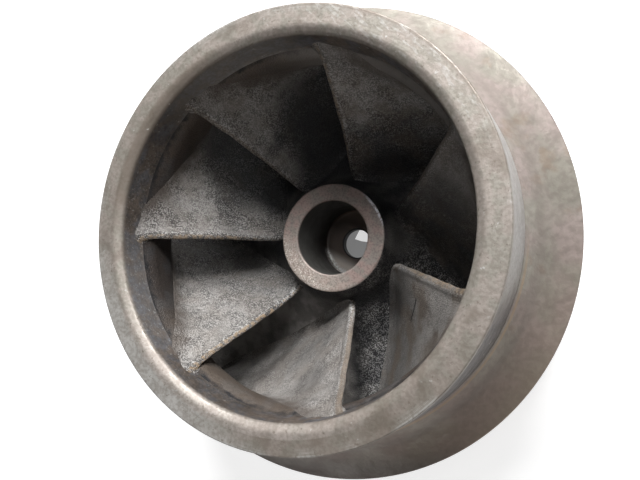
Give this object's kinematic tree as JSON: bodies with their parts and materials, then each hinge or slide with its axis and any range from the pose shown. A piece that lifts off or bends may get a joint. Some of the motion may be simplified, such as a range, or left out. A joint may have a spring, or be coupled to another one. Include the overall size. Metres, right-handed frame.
{
  "type": "pump impeller",
  "caption": "Closed mixed-flow pump impeller in cast iron, with a machined eye ring, swept vanes and a recessed hub nose.",
  "frame": {"origin": "middle of the back boss's end face, which is the bottom of the box", "axes": "+Z along the shaft's axis, towards the eye; +X through the keyway of the shaft bore"},
  "size_m": [0.1906, 0.1906, 0.106],
  "materials": {
    "cast_iron": "sand-cast grey iron, dark and lightly rusted, with turned faces that are lighter and brown-grey"
  },
  "bodies": {
    "root": {"eye_ring": "cast_iron", "front_shroud": "cast_iron", "front_rim": "cast_iron", "back_shroud": "cast_iron", "hub": "cast_iron", "shaft_boss": "cast_iron", "vane_1": "cast_iron", "vane_2": "cast_iron", "vane_3": "cast_iron", "vane_4": "cast_iron", "vane_5": "cast_iron", "vane_6": "cast_iron", "vane_7": "cast_iron"}
  },
  "joints": []
}
